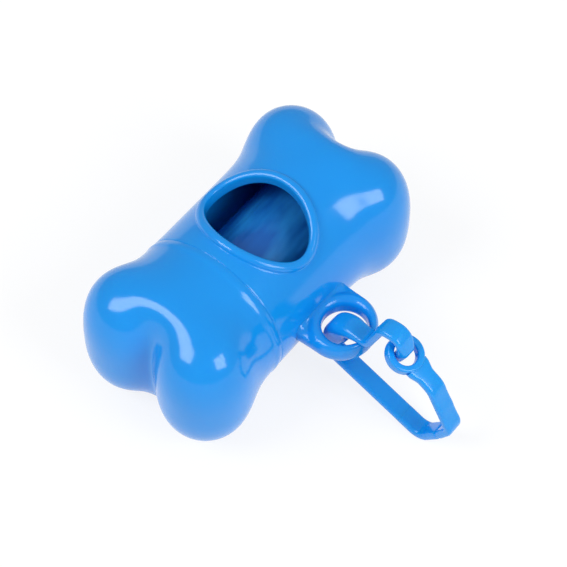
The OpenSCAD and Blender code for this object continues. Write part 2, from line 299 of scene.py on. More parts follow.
def plastic(name, colour, drift=0.04, low=0.15, high=0.27, wave=0.22, clear=0.0):
    """Glossy moulded plastic: the moulded surface on a Principled shader. low and high bound
    its roughness, wave is its sink marks' height and clear how much light it lets in."""
    material = bpy.data.materials.new(name)
    tree = bare_tree(material)
    face = node(
        tree, "ShaderNodeGroup", set_node_tree=MOULDED, Colour=(*colour, 1), Drift=drift,
        Gloss_low=low, Gloss_high=high, Wave=wave,
    )
    bump = node(
        tree, "ShaderNodeBump", Height=face.outputs["Height"], Strength=0.35, Distance=0.0003
    )
    shader = node(
        tree, "ShaderNodeBsdfPrincipled", Base_Color=face.outputs["Colour"],
        Roughness=face.outputs["Roughness"], Normal=bump.outputs[0], IOR=1.5,
        Subsurface_Weight=clear, Subsurface_Radius=(0.2, 0.6, 1.0), Subsurface_Scale=0.0012,
    )
    node(tree, "ShaderNodeOutputMaterial", Surface=shader.outputs[0])
    return material


SHELL_PLASTIC = plastic("shell_blue_gloss", PLASTIC_BLUE, clear=0.12)

# Rows of the mouth's field: the straight part of the shaft between these is cut out of both
# skins in a rectangle, and a collar of rings fills the space between it and the oval mouth.
FIELD_X = np.linspace(-10.9, 16.6, 45)
FIELD_IN_X = np.linspace(-8.6, 16.6, 45)
HALF_FIELD = 43  # columns of the rectangle on each side of the top
TOP = COLUMNS // 2
INNER_R = SHAFT_R - WALL
LIP_SPREAD = 0.08  # how much more than half the lip's width its crown reaches to each side
LIP_ARC = (9, 150)  # degrees at which the crown starts outside and stops inside
LIP_POINTS = 17
LIP_FILLET = np.array([[1.7, 0.0], [1.48, 0.008], [1.34, 0.035], [1.24, 0.085]])
RAYS_OUT = 1.5  # how far outside the lip's middle the columns are spread evenly
SKIRT_ROWS, SKIRT_EASE = 8, 1.25
WALL_ROWS = 9
CROWN_PULL = 2.2  # how many of its own last steps the crown runs on into the mouth's wall
LAND_UP, LEAD_UP = 0.3, 0.9  # the wall's foot above the inner skin, and the pull above that
MOUTH_EDGE = ((0.05, 0.12), (0.16, 0.02), (0.35, 0.0))  # round the wall's foot: out, up


def collar_border(rows):
    """Point numbers round a rectangle of rows and columns, in one turn."""
    left, right = TOP - HALF_FIELD, TOP + HALF_FIELD
    return np.concatenate(
        [rows[0, left:right], rows[:-1, right], rows[-1, right:left:-1], rows[:0:-1, left]]
    )


def lip_section():
    """Across the lip, as (distance outwards, height): a fillet, then a half-oval crown."""
    crown = np.radians(np.linspace(*LIP_ARC, LIP_POINTS))
    oval = np.stack([(LIP_W / 2 + LIP_SPREAD) * np.cos(crown), LIP_H * np.sin(crown)], -1)
    return np.concatenate([LIP_FILLET, oval])


def collar(outer_edge, inner_edge):
    """Rings from the outer skin over the lip and down the mouth's wall to the inner skin."""
    across = outer_edge[:, 0] - MOUTH_X
    arc = outer_edge[:, 1]
    foot_len, foot_wide = (MOUTH_LEN + LIP_W) / 2, (MOUTH_WIDE + LIP_W) / 2
    t = np.arctan2(arc / (foot_wide + RAYS_OUT), across / (foot_len + RAYS_OUT))
    y = foot_wide * np.sin(t)
    crest = np.stack([MOUTH_X + foot_len * np.cos(t), y, np.sqrt(SHAFT_R**2 - y**2)], -1)
    up = crest * [0, 1, 1] / SHAFT_R
    away = np.stack([np.cos(t) / foot_len, np.sin(t) / foot_wide, 0 * t], -1)
    side = away - up * (away * up).sum(-1, keepdims=True)
    side /= np.linalg.norm(side, axis=-1, keepdims=True)

    def over(distance, height):
        """The crest line moved sideways by the distance, set on the skin and raised."""
        flat = crest + side * distance
        out = flat * [0, 1, 1]
        return on_skin(flat, 0) + out / np.linalg.norm(out, axis=-1, keepdims=True) * height

    section = [over(d, h) for d, h in lip_section()]
    skirt = []
    for k in np.linspace(0, 1, SKIRT_ROWS)[1:-1] ** SKIRT_EASE:
        skirt.append(on_skin(outer_edge * (1 - k) + section[0] * k, 0))
    mouth = np.stack(
        [MOUTH_X + MOUTH_LEN / 2 * np.cos(t), MOUTH_WIDE / 2 * np.sin(t), 0 * t], -1
    )
    floor = mouth + [[0, 0, 1]] * np.sqrt(INNER_R**2 - mouth[:, 1:2] ** 2)
    last, before = section[-1], section[-2]
    pull = last + (last - before) * CROWN_PULL
    land = floor + [0, 0, LAND_UP]
    lead = land + [0, 0, LEAD_UP]
    wall = []
    for k in np.linspace(0, 1, WALL_ROWS)[1:]:
        wall.append(
            (1 - k) ** 3 * last + 3 * k * (1 - k) ** 2 * pull + 3 * k * k * (1 - k) * lead
            + k**3 * land
        )
    bottom = []
    outward = away / np.linalg.norm(away, axis=-1, keepdims=True)
    for shift, lift in MOUTH_EDGE:
        bottom.append(on_skin(floor + outward * shift, WALL) + [0, 0, lift])
    for k in (0.25, 0.5, 0.75):
        bottom.append(on_skin(bottom[2] * (1 - k) + inner_edge * k, WALL))
    return np.stack(skirt + section + wall + bottom)


def housing_mesh():
    """Inner end, inner skin, neck, seam, outer skin and outer end in one row table, with the
    collar let in; every row has the same columns, so neighbours join without doubles."""
    outer_fan, outer_pole = fan_rows(1, 0)
    inner_fan, inner_pole = fan_rows(1, WALL)
    inner = skin_rows(np.concatenate([[17.4], FIELD_IN_X[::-1]]), WALL)
    neck_end = -SEAM_X - NECK_LEN
    flange = FLANGE_LEN - SEAM_X
    turned = turned_rows(
        np.concatenate(
            [
                corner(flange, 16.9, flange, 16.6, flange, 16.3, 3),
                corner(
                    flange, NECK_BORE + BORE_EDGE, flange, NECK_BORE, flange - BORE_EDGE, NECK_BORE
                ),
                [[-11.0, NECK_BORE], [-13.0, NECK_BORE], [-15.0, NECK_BORE]],
                corner(
                    neck_end + BORE_EDGE, NECK_BORE, neck_end, NECK_BORE,
                    neck_end, NECK_BORE + BORE_EDGE,
                ),
                corner(
                    neck_end, NECK_R - NECK_EDGE, neck_end, NECK_R, neck_end + NECK_EDGE, NECK_R
                ),
                [[-15.5, NECK_R], [-13.5, NECK_R]],
                corner(
                    -SEAM_X - SEAM_FILLET, NECK_R, -SEAM_X, NECK_R, -SEAM_X, NECK_R + SEAM_FILLET
                ),
                corner(
                    -SEAM_X, SHAFT_R - SEAM_EDGE, -SEAM_X, SHAFT_R, -SEAM_X + SEAM_EDGE, SHAFT_R, 6
                )[:-1],
            ]
        )
    )
    outer = skin_rows(np.concatenate([[-SEAM_X + SEAM_EDGE, -11.4], FIELD_X, [17.3]]), 0)
    rows = np.concatenate([inner_fan[::-1], inner, turned, outer, outer_fan])
    number = np.arange(rows.shape[0] * COLUMNS).reshape(-1, COLUMNS)
    poles = number.size
    first_in = FAN_ROWS + 1
    first_out = FAN_ROWS + len(inner) + len(turned) + 2
    last = len(FIELD_X)
    flat = rows.reshape(-1, 3)
    border_out = collar_border(number[first_out : first_out + last])
    border_in = collar_border(number[first_in : first_in + last][::-1])
    rings = collar(flat[border_out], flat[border_in])
    added = poles + 2 + np.arange(rings.shape[0] * rings.shape[1]).reshape(rings.shape[:2])
    table = np.concatenate([border_out[None], added, border_in[None]])
    q = quads(number)
    keep = np.ones(q.shape[:2], bool)
    for first in (first_in, first_out):
        keep[first : first + last - 1, TOP - HALF_FIELD : TOP + HALF_FIELD] = False
    four = np.concatenate([q[keep], quads(table).reshape(-1, 4)])
    three = np.concatenate([fan(number[0], poles)[:, ::-1], fan(number[-1], poles + 1)])
    points = np.concatenate([flat, inner_pole[None], outer_pole[None], rings.reshape(-1, 3)])
    return points, four, three


housing = put("housing_shell", *housing_mesh(), SHELL_PLASTIC, "housing", "shell")
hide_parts("body_shell")

# ---- Eye tab -------------------------------------------------------------------------------
# The flat lug that the clip hangs in, moulded on the housing's side. It has a half-round edge,
# a raised bead round its eye, and fillets where it grows out of the shaft.
TAB_X, TAB_OUT, TAB_R, TAB_T = 1.4, 5.9, 8.1, 3.4
EYE_R, RIM_W = 5.2, 1.9
EYE_BEAD_H, EYE_BEAD_W = 0.8, 3.1
TAB_FILLET, FILLET_REACH = 1.0, 2.2
TAB_Y = SHAFT_R + TAB_OUT
EYE_Y = TAB_Y + TAB_R - RIM_W - EYE_R
TAB_ROOT = SHAFT_R - 1.9  # how near to the axis the tab's root ends, inside the wall
EYE_CREST = 1.55  # how far from the eye's wall the bead is highest, less at the tab's tip
EYE_WALL = 0.45  # how much of half the plate's height is upright wall
TAB_WIDER = 0.1  # how much of its rim's width the tab gains along the axis
EYE_TURNS = 256
TAB_EDGE = 1.05  # reach of the half-round edge at the tip, in halves of the tab's thickness
FLANK_LEAN = 0.66  # least cosine by which that reach is stretched along the flanks
FACE_LEAST, EDGE_LEAST = 1.85, 0.08  # least reach of the face, and of the edge where it is short
ROW_GAP = 0.02  # gap between the bead's rows where they have little room
ROOT_CLOSE = 0.4  # length over which the tab closes inside the housing's wall
BEAD_SUNK, BEAD_BLEND = 0.2, 0.12  # how deep the bead's curve runs out, and how softly it joins


def ring_table(rows, columns):
    """Faces of a closed ring: a table of points joined to itself both ways."""
    number = np.arange(rows * columns).reshape(rows, columns)
    return quads(np.concatenate([number, number[:1]])).reshape(-1, 4)


def smooth_step(t):
    """From 0 to 1 with a level start and finish: three t squared less two t cubed."""
    t = np.clip(t, 0, 1)
    return t * t * (3 - 2 * t)


def tab_mesh():
    """Sections from the eye's wall over the bead and the flat face to the edge, one for each
    turn round the eye and mirrored below; the fillet is a cube that dies out over its reach."""
    turn = 2 * math.pi * np.arange(EYE_TURNS) / EYE_TURNS
    c, s = np.cos(turn), np.sin(turn)
    lead = EYE_Y - TAB_Y
    tip = -lead * s + np.sqrt(TAB_R**2 - (lead * c) ** 2)
    flank = TAB_R / np.maximum(np.abs(c), 1e-6)
    root = np.where(s < 0, (EYE_Y - TAB_ROOT) / np.maximum(-s, 1e-6), 1e6)
    reach = np.where(EYE_Y + tip * s >= TAB_Y, tip, np.minimum(flank, root))
    wide = reach - EYE_R
    half = TAB_T / 2
    on_tip = EYE_Y + tip * s >= TAB_Y
    round_in = np.where(on_tip, TAB_EDGE * half, half / np.maximum(np.abs(c), FLANK_LEAN))
    flat_end = np.clip(wide - round_in, np.minimum(FACE_LEAST, wide - EDGE_LEAST), None)
    crest = np.minimum(EYE_CREST, wide / 2)
    bead_end = EYE_BEAD_W + 0 * turn
    foot = EYE_WALL * half
    climb = np.array([0.0, 0.5, 0.85])[:, None] * foot + 0 * turn
    inner_arc = np.radians(np.linspace(0, 90, 12))[:, None]
    q1 = np.concatenate([0 * climb, crest * (1 - np.cos(inner_arc))])
    rise = foot + (half + EYE_BEAD_H - foot) * np.sin(inner_arc)
    h1 = np.concatenate([climb, rise + 0 * turn])
    outer_arc = np.radians(np.linspace(12, 90, 8))[:, None]
    bead_q = crest + (bead_end - crest) * np.sin(outer_arc)
    room = (flat_end - ROW_GAP * np.arange(12, 4, -1)[:, None]) / np.maximum(bead_q[-1:], 1e-6)
    bead_q = np.minimum(bead_q, np.maximum(bead_q * np.minimum(room, 1), crest + 0.01))
    plate = np.linspace(0, 1, 10)[1:, None]
    q2 = np.concatenate([bead_q, bead_q[-1:] * (1 - plate) + flat_end * plate])
    edge = np.radians(np.linspace(0, 90, 8))[1:, None]
    q = np.concatenate([q2, flat_end + (wide - flat_end) * np.sin(edge)])
    x, out = c * (EYE_R + q), EYE_Y + s * (EYE_R + q)
    from_mid = np.hypot(x, np.maximum(out - TAB_Y, 0))
    out_by = np.clip((from_mid - TAB_R + half) / half, 0, 1)
    closing = np.clip((TAB_ROOT + ROOT_CLOSE - out) / ROOT_CLOSE, 0, 1)
    plate_h = half * np.sqrt(1 - np.maximum(out_by, closing) ** 2)
    fall = np.clip((q - crest) / (bead_end - crest), 0, 1.2)
    bead_h = half - BEAD_SUNK + (EYE_BEAD_H + BEAD_SUNK) * np.cos(fall * math.pi / 2)
    near_edge = np.clip((q - wide) / crest + 1, 0, 1)
    bead_h = np.minimum(bead_h, (half + EYE_BEAD_H) * np.sqrt(1 - near_edge**2))
    h2 = -soft_min(-plate_h, -bead_h, BEAD_BLEND)
    h2[-1] = 0
    up_by = np.sqrt(1 - out_by**2)
    depth = out - np.sqrt(SHAFT_R**2 - (h2 + 0.5) ** 2)
    swell = TAB_FILLET * np.clip(1 - depth / FILLET_REACH, 0, 1) ** 3
    room_up = np.clip((half + TAB_FILLET - h2) / TAB_FILLET, 0, 1) * np.clip(h2 / half, 0, 1)
    h2 = h2 + swell * up_by * room_up
    x = x + c * TAB_WIDER * q
    x = np.concatenate([c * (EYE_R + q1 * (1 + TAB_WIDER)), x])
    out = np.concatenate([EYE_Y + s * (EYE_R + q1), out])
    h = np.concatenate([h1, h2])
    x, out = (np.concatenate([v, v[-2:0:-1]]) for v in (x, out))
    h = np.concatenate([h, -h[-2:0:-1]])
    points = np.stack([TAB_X + x, -out, h], -1)
    return points.reshape(-1, 3), ring_table(*h.shape), None


tab = put("eye_tab", *tab_mesh(), SHELL_PLASTIC, "housing", "shell")
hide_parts("body_shell")

# ---- Cap -----------------------------------------------------------------------------------
# The smaller moulding, the other end of the bone, in the same plastic. It pushes over the
# housing's neck, and a low bead round its edge gives the fingers a grip to pull it off by.
CAP_BEAD_H, CAP_BEAD_W = 0.18, 2.5
SOCKET_R = 17.45
SOCKET_END = -SEAM_X - NECK_LEN - 0.3  # just past the neck's end
SOCKET_EDGE = 0.25  # rounding of the socket's mouth


def cap_mesh():
    """Inner end, socket, edge, bead, outer skin and outer end in one row table; the bead is a
    sine arch added to the skin."""
    outer_fan, outer_pole = fan_rows(-1, 0)
    inner_fan, inner_pole = fan_rows(-1, WALL)
    inner_fan = inner_fan[2:]
    socket = turned_rows(
        np.concatenate(
            [
                corner(SOCKET_END, 17.15, SOCKET_END, 17.2, SOCKET_END, 17.3, 3),
                corner(SOCKET_END, 17.35, SOCKET_END, SOCKET_R, SOCKET_END + 0.1, SOCKET_R, 3),
                [[-17.0, SOCKET_R], [-15.5, SOCKET_R], [-14.0, SOCKET_R], [-12.8, SOCKET_R]],
                corner(
                    -SEAM_X - SOCKET_EDGE, SOCKET_R, -SEAM_X, SOCKET_R,
                    -SEAM_X, SOCKET_R + SOCKET_EDGE,
                ),
                corner(-SEAM_X, 18.8, -SEAM_X, 19.06, -SEAM_X - 0.1, 19.1, 4)[:-1],
            ]
        )
    )
    along = np.array([0.1, 0.22, 0.4, 0.62, 0.85, 1.1, 1.35, 1.6, 1.8, 1.94, 2.05, 2.3])
    arch = CAP_BEAD_H * np.sin(math.pi * np.clip(along / CAP_BEAD_W, 0, 1)) ** 1.5
    bead = skin_rows(-SEAM_X - along, 0) + arch[:, None, None] * SPOKES
    straight = skin_rows(np.array([-15.0, -16.2, -17.2]), 0)
    rows = np.concatenate([inner_fan[::-1], socket, bead, straight, outer_fan])
    number = np.arange(rows.shape[0] * COLUMNS).reshape(-1, COLUMNS)
    poles = number.size
    three = np.concatenate([fan(number[0], poles)[:, ::-1], fan(number[-1], poles + 1)])
    points = np.concatenate([rows.reshape(-1, 3), inner_pole[None], outer_pole[None]])
    return points, quads(number).reshape(-1, 4), three


cap = put("cap_shell_gloss", *cap_mesh(), SHELL_PLASTIC, "cap", "shell")
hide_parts("cap_shell")

# ---- Bag roll and core ---------------------------------------------------------------------
# Bags of thin dark polythene film, wound tight on a paper core. Pale lengthwise streaks in the
# film's colour are painted sheen, and its outer turn lies in faint lengthwise ripples. The roll
# lies on the neck's bore.
ROLL_R, ROLL_HALF, ROLL_Z = 12.25, 25.9222, -2.75
CORE_R, CORE_T, CORE_OUT = 6.5, 1.0, 0.5
ROLL_AT = BONE_AT + np.array([0.0, 0.0, ROLL_Z])
ROLL_TURNS, CORE_TURNS = 220, 160
ROLL_STEPS, ROLL_SEED = 22, 5  # turns seen at the roll's end, which lie unevenly
STEP_DEEP = 0.14
LAP_H, LAP_AT = 0.16, 0.37  # the film's loose edge: its height, and where in the turn
FILM_WAVES = ((0.055, 7, 2.2, 0.0), (0.04, 17, -3.1, 1.3), (0.022, 41, 4.3, 0.0))
FILM_DRIFTS = ((0.35, 0.11, 0.0), (0.22, 0.31, 1.0))
FILM_SUNK = 0.12  # how far the ripples lie under the roll's full radius
RIPPLE_FROM, RIPPLE_EASE = 10.5, 1.5  # radius where ripples start, and how soon they are full
CORE_EDGE = 0.15  # rounding of the core's edges
JOINT_DEEP, JOINT_W, JOINT_CLIMB = 0.06, 0.02, 30.0  # the board's spiral joint


def tube_rows(profile, turns, ripple=None):
    """A turned tube with a closed profile of (x, radius); ripple(x, r, turn) is added to r."""
    turn = 2 * math.pi * np.arange(turns) / turns
    x, r = np.asarray(profile, float).T
    x, r = x[:, None] + 0 * turn, r[:, None] + 0 * turn
    if ripple is not None:
        r = r + ripple(x, r, turn[None])
    points = np.stack([x, r * np.sin(turn), r * np.cos(turn)], -1)
    return points.reshape(-1, 3), ring_table(len(x), turns), None


def film_ripple(x, r, turn):
    """Lengthwise ripples of the outer turn: sines round the roll whose phase drifts along it.
    FILM_WAVES gives each one's height, count round the roll, drift and start, and FILM_DRIFTS
    the size, rate along the roll and start of the drift's two parts."""
    drift = sum(size * np.sin(x * rate + at) for size, rate, at in FILM_DRIFTS)
    wave = sum(high * np.sin(n * turn + by * drift + at) for high, n, by, at in FILM_WAVES)
    lap = LAP_H * ((turn / (2 * math.pi) + LAP_AT) % 1.0)
    return (wave - FILM_SUNK - lap) * smooth_step((r - RIPPLE_FROM) / RIPPLE_EASE)


def roll_profile():
    """The roll's bore, an end of stepped turns, the outer face and the other end."""
    radii = np.linspace(CORE_R + 0.05, ROLL_R - 0.35, ROLL_STEPS)
    shift = np.random.default_rng(ROLL_SEED).uniform(-STEP_DEEP, 0.0, ROLL_STEPS)
    steps = np.stack([ROLL_HALF - 0.02 + shift, radii], -1)
    face = np.linspace(ROLL_HALF - 0.12, -ROLL_HALF + 0.12, 60)
    outer = np.stack([face, ROLL_R + 0 * face], -1)
    near = steps[::-1] * [-1, 1]
    bore = np.stack([np.linspace(-20, 20, 4), np.full(4, CORE_R + 0.03)], -1)
    return np.concatenate([steps, outer, near, bore])


def two_tones(tree, mask, first, second):
    """A colour that goes from the first tone to the second as the mask goes from 0 to 1."""
    tone = node(tree, "ShaderNodeMix", set_data_type="RGBA", _0=mask)
    tone.inputs[6].default_value = (*first, 1)
    tone.inputs[7].default_value = (*second, 1)
    return tone.outputs[2]


def film_material():
    """Polythene: dark blue film, with pale lengthwise streaks painted into its colour as painted
    sheen.
    """
    material = bpy.data.materials.new("film_navy_painted_sheen")
    tree = bare_tree(material)
    spot = node(tree, "ShaderNodeTexCoord").outputs["Object"]
    stretch = node(tree, "ShaderNodeMapping", Vector=spot, Scale=(45.0, 130.0, 130.0))
    streak = node(tree, "ShaderNodeTexNoise", Vector=stretch.outputs[0], Scale=1.0, Detail=3.0)
    grain = node(tree, "ShaderNodeTexNoise", Vector=spot, Scale=5200.0, Detail=2.0)
    sheen_paint_mask = node(
        tree, "ShaderNodeMapRange", Value=streak.outputs[0], From_Min=0.42, From_Max=0.7
    )
    # the second, paler tone is painted sheen, laid in lengthwise streaks along the roll
    tone = two_tones(tree, sheen_paint_mask.outputs[0], (0.004, 0.12, 0.46), (0.02, 0.33, 0.78))
    gloss = node(tree, "ShaderNodeMapRange", Value=streak.outputs[0], To_Min=0.26, To_Max=0.5)
    both = node(
        tree, "ShaderNodeMath", set_operation="MULTIPLY_ADD", _0=grain.outputs[0], _1=0.08,
        _2=streak.outputs[0],
    )
    bump = node(tree, "ShaderNodeBump", Height=both.outputs[0], Strength=0.5, Distance=0.0004)
    shader = node(
        tree, "ShaderNodeBsdfPrincipled", Base_Color=tone,
        Roughness=gloss.outputs[0], Normal=bump.outputs[0], IOR=1.52,
    )
    node(tree, "ShaderNodeOutputMaterial", Surface=shader.outputs[0])
    return material


def board_material():
    """Core board: brown paper with blotches and short fibres."""
    material = bpy.data.materials.new("core_board")
    tree = bare_tree(material)
    spot = node(tree, "ShaderNodeTexCoord").outputs["Object"]
    fibre = node(tree, "ShaderNodeMapping", Vector=spot, Scale=(900.0, 3200.0, 3200.0))
    strands = node(tree, "ShaderNodeTexNoise", Vector=fibre.outputs[0], Scale=1.0, Detail=5.0)
    blotch = node(tree, "ShaderNodeTexNoise", Vector=spot, Scale=180.0, Detail=2.0)
    both = node(
        tree, "ShaderNodeMath", set_operation="MULTIPLY_ADD", _0=blotch.outputs[0], _1=0.6,
        _2=strands.outputs[0],
    )
    mask = node(tree, "ShaderNodeMapRange", Value=both.outputs[0], From_Min=0.5, From_Max=1.1)
    tone = two_tones(tree, mask.outputs[0], (0.33, 0.225, 0.125), (0.52, 0.39, 0.25))
    rough = node(tree, "ShaderNodeMapRange", Value=strands.outputs[0], To_Min=0.7, To_Max=0.95)
    bump = node(
        tree, "ShaderNodeBump", Height=strands.outputs[0], Strength=0.6, Distance=0.0002
    )
    shader = node(
        tree, "ShaderNodeBsdfPrincipled", Base_Color=tone,
        Roughness=rough.outputs[0], Normal=bump.outputs[0],
    )
    node(tree, "ShaderNodeOutputMaterial", Surface=shader.outputs[0])
    return material


def core_ripple(x, r, turn):
    """The spiral joint of the board: a bell-shaped groove that climbs JOINT_CLIMB a turn."""
    phase = (turn / (2 * math.pi) + x / JOINT_CLIMB) % 1.0
    return -JOINT_DEEP * np.exp(-(((phase - 0.5) / JOINT_W) ** 2)) * (r > CORE_R - CORE_T / 2)


film = put(
    "bag_film_roll", *tube_rows(roll_profile(), ROLL_TURNS, film_ripple), film_material(),
    "roll", "film", at=ROLL_AT,
)
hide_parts("bag_roll")


def core_profile():
    """The core's near edges, outer face, far edges and bore."""
    end, bore = ROLL_HALF + CORE_OUT, CORE_R - CORE_T
    near = [
        corner(end - CORE_EDGE, bore, end, bore, end, bore + CORE_EDGE, 4),
        corner(end, CORE_R - CORE_EDGE, end, CORE_R, end - CORE_EDGE, CORE_R, 4),
    ]
    face = np.stack([np.linspace(end - 0.6, -end + 0.6, 70), np.full(70, CORE_R)], -1)
    far = [rows[::-1] * [-1, 1] for rows in near[::-1]]
    inside = np.stack([np.linspace(-end + 1.0, end - 1.0, 8), np.full(8, bore)], -1)
    return np.concatenate([*near, face, *far, inside])


core = put(
    "paper_core", *tube_rows(core_profile(), CORE_TURNS, core_ripple), board_material(),
    "roll", "core", at=ROLL_AT,
)
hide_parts("roll_core")

# ---- Clip: hook, neck and strap ------------------------------------------------------------
# The clip is one strip of the same blue plastic. From the hook's tip it drops to the neck on
# the tab's rim, curls through the eye and runs out below as the strap. Side views are given
# as (outwards, up) from the middle of the rim, in line with the axis.
CLIP_W, CLIP_T, TIP_W = 4.6, 1.9, 4.2
CLIP_X = TAB_X - 0.7
RIM_MID = TAB_Y + TAB_R - RIM_W / 2
SWING_GAP = 0.15  # running clearance between the neck and the bead it lies on
NECK_H = TAB_T / 2 + EYE_BEAD_H + SWING_GAP + CLIP_T / 2
RING_R, RING_HOLE_R, RING_T = 4.35, 2.75, 2.6
RING_LEAN = math.radians(24)
RING_TOP = np.array([10.9, 8.1])
RING_UP = np.array([math.sin(RING_LEAN), math.cos(RING_LEAN)])
RING_OUT = np.array([math.cos(RING_LEAN), -math.sin(RING_LEAN)])
CURL = np.array([-11.05, -8.2])
FOOT = np.array([17.35, 0.4 - BONE_AT[2]])
TIP_IN, TIP_PAST = 0.3, 0.1  # the tip inwards of the ring's middle, and out below its hole
TIP_AT = RING_TOP - RING_OUT * TIP_IN
STRAP_WAY = (CURL - FOOT) / np.linalg.norm(CURL - FOOT)
STRAP_JOIN = FOOT + STRAP_WAY * 6.0  # where the two halves of the clip meet
NECK_IN, NECK_OUT = np.array([-5.9, NECK_H + 0.1]), np.array([1.4, NECK_H])
HOOK_RISE, HOOK_TOP = np.array([4.95, 12.8]), np.array([9.1, 13.3])
HOOK_BENDS = (2.2, 4.6, 2.5, 2.2, 2.6, 1.5)
STRIP_EDGE = 0.8  # rounding of the strip's edges
CURL_MID = np.array([-6.9, 0.4])
CURL_HALF, LOW_HALF, LOW_BACK = 6.0, 3.6, 1.4  # the curl's swelling, and one more low on it
CURL_WIDER, CURL_BELOW, CURL_ABOVE = 1.5, 1.8, 0.3
CURL_EDGE, CURL_ASIDE, LOW_SWELL = 1.3, 0.35, 0.8
TIP_LONG, TIP_EASE = 6.2, 2.6  # length of the narrow tip, and of the way into it
TIP_BELOW, TIP_ABOVE, TIP_EDGE, TIP_DOME = 0.7, 0.05, 0.45, 0.45
CLIP_PLASTIC = plastic(
    "clip_blue_gloss", (0.006, 0.33, 0.87), drift=0.05, low=0.17, high=0.3, wave=0.1, clear=0.2
)


def rounded_line(corners, radii, step=0.45):
    """Evenly spaced points along a line whose corners are rounded by arcs of these radii."""
    runs = [np.array([corners[0]])]
    for a, b, c, r in zip(corners, corners[1:], corners[2:], radii):
        u, v = (a - b) / np.linalg.norm(a - b), (c - b) / np.linalg.norm(c - b)
        half = math.acos(float(u @ v)) / 2
        mid = b + (u + v) / np.linalg.norm(u + v) * (r / math.sin(half))
        p, q = b + u * (r / math.tan(half)) - mid, b + v * (r / math.tan(half)) - mid
        start = math.atan2(p[1], p[0])
        sweep = math.atan2(q[1], q[0]) - start
        sweep -= 2 * math.pi * round(sweep / (2 * math.pi))
        t = start + sweep * np.linspace(0, 1, 25)
        runs.append(mid + r * np.stack([np.cos(t), np.sin(t)], -1))
    runs.append(np.array([corners[-1]]))
    line = np.concatenate(runs)
    far = np.concatenate([[0], np.cumsum(np.linalg.norm(np.diff(line, axis=0), axis=1))])
    at = np.linspace(0, far[-1], int(far[-1] / step) + 2)
    return np.stack([np.interp(at, far, line[:, 0]), np.interp(at, far, line[:, 1])], -1), at


def plateau(at, middle, half):
    """A flat-topped bell: e to the minus fourth power of the distance over half its length."""
    return np.exp(-(((at - middle) / half) ** 4))


def from_side(shift, flat):
    """Side-view points at their shifts along the axis from the clip's middle plane."""
    return np.stack([CLIP_X + shift, -(RIM_MID + flat[..., 0]), flat[..., 1]], -1)


def strip_rows(line, wide, below, above, edge=0.85, aside=0.0, dome=0.0):
    """A rounded-rectangle section carried along a side-view line. wide is its width, below and
    above its two faces' distances from the line, edge its corners' radius and aside its shift
    along the axis; dome rounds off the far end by that length."""
    count = len(line)
    wide, below, above, aside = (
        np.broadcast_to(v, count).astype(float) for v in (wide, below, above, aside)
    )
    way = np.gradient(line, axis=0)
    way /= np.linalg.norm(way, axis=1, keepdims=True)
    up = np.stack([-way[:, 1], way[:, 0]], -1)
    far = np.concatenate([[0], np.cumsum(np.linalg.norm(np.diff(line, axis=0), axis=1))])
    into = np.clip(dome - (far[-1] - far), 0, dome)
    shrink = dome - np.sqrt(np.maximum(dome**2 - into**2, 0))
    arc = np.radians(np.linspace(0, 90, 7))
    r = np.broadcast_to(edge, count)[:, None]
    corners = [(1, 1, arc), (-1, 1, arc[::-1]), (-1, -1, arc), (1, -1, arc[::-1])]
    rows_w, rows_h = [], []
    for sw, sh, a in corners:
        rows_w.append(sw * (wide[:, None] / 2 - shrink[:, None] - r + r * np.cos(a)))
        face = above if sh > 0 else below
        rows_h.append(sh * (face[:, None] - shrink[:, None] - r + r * np.sin(a)))
    w, h = np.concatenate(rows_w, 1), np.concatenate(rows_h, 1)
    flat = line[:, None, :] + up[:, None, :] * h[..., None]
    return from_side(aside[:, None] + w, flat)


def closed_strip(rows):
    """Points and faces of a strip with both ends closed by a fan."""
    number = np.arange(rows.shape[0] * rows.shape[1]).reshape(rows.shape[:2])
    ends = np.stack([rows[0].mean(0), rows[-1].mean(0)])
    three = np.concatenate(
        [fan(number[0], number.size)[:, ::-1], fan(number[-1], number.size + 1)]
    )
    return np.concatenate([rows.reshape(-1, 3), ends]), quads(number).reshape(-1, 4), three


hook_line, hook_far = rounded_line(
    [
        STRAP_JOIN, CURL, NECK_IN, NECK_OUT, HOOK_RISE, HOOK_TOP, TIP_AT + RING_UP,
        TIP_AT - RING_UP * (RING_T + TIP_PAST),
    ],
    HOOK_BENDS,
)
curl_at = hook_far[np.argmin(np.linalg.norm(hook_line - CURL_MID, axis=1))]
curl = plateau(hook_far, curl_at, CURL_HALF)
low = LOW_SWELL * plateau(hook_far, curl_at - LOW_BACK, LOW_HALF)
narrow = smooth_step((hook_far - (hook_far[-1] - TIP_LONG)) / TIP_EASE)
hook = put(
    "clip_hook_strap",
    *closed_strip(
        strip_rows(
            hook_line, CLIP_W + CURL_WIDER * curl - (CLIP_W - TIP_W) * narrow,
            CLIP_T / 2 + CURL_BELOW * curl + low + TIP_BELOW * narrow,
            CLIP_T / 2 + CURL_ABOVE * curl + low + TIP_ABOVE * narrow,
            edge=STRIP_EDGE + CURL_EDGE * curl + TIP_EDGE * narrow,
            aside=CURL_ASIDE * curl, dome=TIP_DOME,
        )
    ),
    CLIP_PLASTIC, "clip", "clip",
)
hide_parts("clip_hook")

